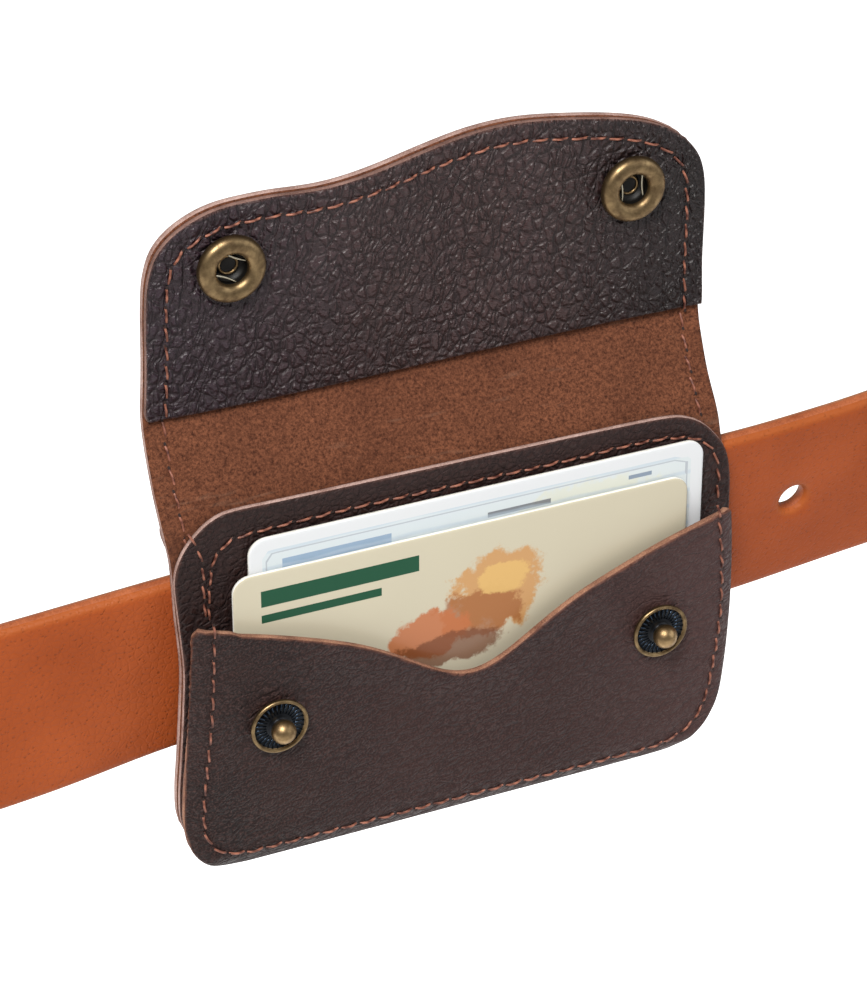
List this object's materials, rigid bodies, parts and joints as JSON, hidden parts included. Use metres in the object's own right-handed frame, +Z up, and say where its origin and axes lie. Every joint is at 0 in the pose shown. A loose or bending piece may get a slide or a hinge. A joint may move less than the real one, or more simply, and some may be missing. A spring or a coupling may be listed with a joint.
{
  "type": "money belt",
  "caption": "Leather money belt: a snap-top card pouch with an open flap and blank cards, threaded on a buckled waist belt.",
  "frame": {"origin": "on the flat rear face of the pouch, at mid-width and at the height of the middle of the belt there, where the pouch lies against the wearer's waist", "axes": "+Z up, +Y towards the wearer and into the belt loop, +X along the belt's front run towards the buckle; the pouch faces -Y"},
  "size_m": [0.3532, 0.2685, 0.1245],
  "materials": {
    "tan_leather": "smooth full-grain harness leather, waxed, burnished edges",
    "dark_leather": "dark brown pebbled full-grain leather, satin",
    "leather_flesh_side": "mid-brown flesh side, matt and napped",
    "antique_brass": "antique brass, polished on the high spots",
    "spring_steel": "bright spring wire",
    "copper_thread": "bonded thread, copper brown",
    "cream_card": "laminated card, satin, blank",
    "pale_card": "laminated card, satin, blank with a thin border"
  },
  "bodies": {
    "belt": {"belt_strap": "tan_leather", "keeper": "tan_leather"},
    "buckle": {"buckle_frame": "antique_brass"},
    "prong": {"buckle_prong": "antique_brass"},
    "pouch": {"belt_loop_panel": "dark_leather", "shell_back": "leather_flesh_side", "inner_panel": "dark_leather", "front_pocket": "dark_leather", "seam_body": "copper_thread", "seam_panel": "copper_thread", "stud_left": "antique_brass", "stud_right": "antique_brass", "stud_rivet_left": "antique_brass", "stud_rivet_right": "antique_brass"},
    "flap": {"flap": "leather_flesh_side", "flap_facing": "dark_leather", "socket_left": "antique_brass", "socket_right": "antique_brass", "snap_cap_left": "antique_brass", "snap_cap_right": "antique_brass", "snap_spring_left": "spring_steel", "snap_spring_right": "spring_steel", "seam_flap": "copper_thread"},
    "front_card": {"card_front": "cream_card"},
    "rear_card": {"card_rear": "pale_card"}
  },
  "joints": [
    {"name": "pouch_slide", "type": "slide", "parent": "belt", "child": "pouch", "axis": [0.9984, 0, 0.0559], "range_m": [-0.035, 0.035]},
    {"name": "flap_fold", "type": "hinge", "parent": "pouch", "child": "flap", "pos_m": [0, -0.0095, 0.0267], "axis": [-1, 0, 0], "range_deg": [-180, 20]},
    {"name": "front_card_slide", "type": "slide", "parent": "pouch", "child": "front_card", "axis": [0, 0, 1], "range_m": [0, 0.04]},
    {"name": "rear_card_slide", "type": "slide", "parent": "pouch", "child": "rear_card", "axis": [0, 0, 1], "range_m": [-0.005, 0.04]},
    {"name": "buckle_swing", "type": "hinge", "parent": "belt", "child": "buckle", "pos_m": [0.133, -0.0002, 0.0074], "axis": [0, 0, 1], "range_deg": [0, 5]},
    {"name": "prong_swing", "type": "hinge", "parent": "buckle", "child": "prong", "pos_m": [0.133, -0.0002, 0.0074], "axis": [0, 0, 1], "range_deg": [0, 3]}
  ]
}
